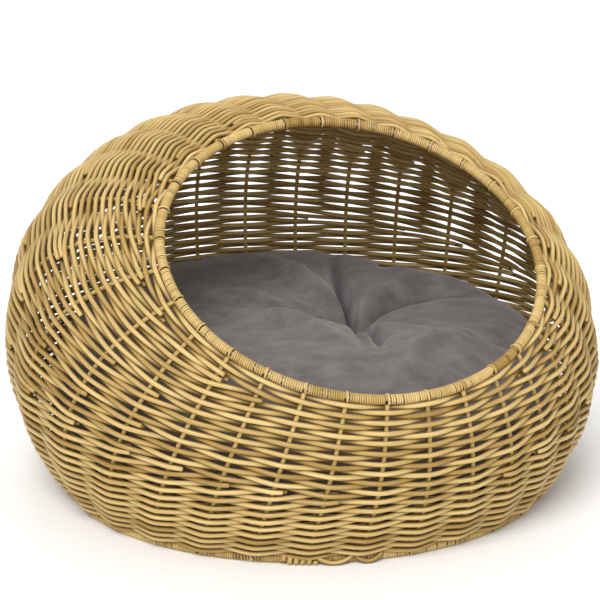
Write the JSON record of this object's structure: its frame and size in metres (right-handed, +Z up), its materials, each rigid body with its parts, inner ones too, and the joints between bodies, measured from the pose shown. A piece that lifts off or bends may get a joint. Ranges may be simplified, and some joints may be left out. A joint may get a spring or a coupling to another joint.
{
  "type": "wicker pet bed basket",
  "caption": "Domed round wicker pet bed with a large tilted mouth, steel hoops, ribs, a woven wall and floor, and a loose thick tufted cushion.",
  "frame": {"origin": "centre of the whole bed's plan, on the floor it stands on", "axes": "+Z up, the mouth leans back and faces -Y, +X to the right of someone looking into the mouth"},
  "size_m": [0.52, 0.5253, 0.3263],
  "materials": {
    "woven_strand": "satin round resin wicker strand, straw tan, faintly streaked",
    "fine_strand": "satin fine resin wicker strand, slightly paler",
    "rib_strand": "matt resin coated stake, greyer tan",
    "hoop_steel": "powder coated steel wire, brown",
    "cushion_velour": "short pile velour, warm grey",
    "cushion_fibre": "loose polyester fibre, white",
    "cushion_thread": "waxed upholstery thread, grey"
  },
  "bodies": {
    "basket": {"base_hoop_wire": "hoop_steel", "base_lashing_strand": "woven_strand", "base_rows_inner": "woven_strand", "base_rows_outer": "woven_strand", "base_wrapping_strand": "fine_strand", "floor_spoke_wires": "hoop_steel", "floor_weave_lower": "woven_strand", "floor_weave_upper": "woven_strand", "lower_wedge_rows_inner": "woven_strand", "lower_wedge_rows_outer": "woven_strand", "middle_rows_inner": "woven_strand", "middle_rows_outer": "woven_strand", "rib_01": "rib_strand", "rib_02": "rib_strand", "rib_03": "rib_strand", "rib_04": "rib_strand", "rib_05": "rib_strand", "rib_06": "rib_strand", "rib_07": "rib_strand", "rib_08": "rib_strand", "rib_09": "rib_strand", "rib_10": "rib_strand", "rib_11": "rib_strand", "rib_12": "rib_strand", "rib_13": "rib_strand", "rib_14": "rib_strand", "rib_15": "rib_strand", "rib_16": "rib_strand", "rib_17": "rib_strand", "rib_18": "rib_strand", "rib_19": "rib_strand", "rib_20": "rib_strand", "rib_21": "rib_strand", "rib_22": "rib_strand", "rib_23": "rib_strand", "rib_24": "rib_strand", "rib_25": "rib_strand", "rib_26": "rib_strand", "rib_27": "rib_strand", "rib_28": "rib_strand", "rib_29": "rib_strand", "rib_30": "rib_strand", "rim_hoop_wire": "hoop_steel", "rim_rows_inner": "woven_strand", "rim_rows_outer": "woven_strand", "rim_wrapping_strand": "fine_strand", "upper_wedge_rows_inner": "woven_strand", "upper_wedge_rows_outer": "woven_strand"},
    "cushion": {"cushion_cover": "cushion_velour", "cushion_filling": "cushion_fibre", "cushion_tuft_thread": "cushion_thread"}
  },
  "joints": [
    {"name": "cushion_lift", "type": "slide", "parent": "basket", "child": "cushion", "axis": [0, 0, 1], "range_m": [0, 0.06]}
  ]
}
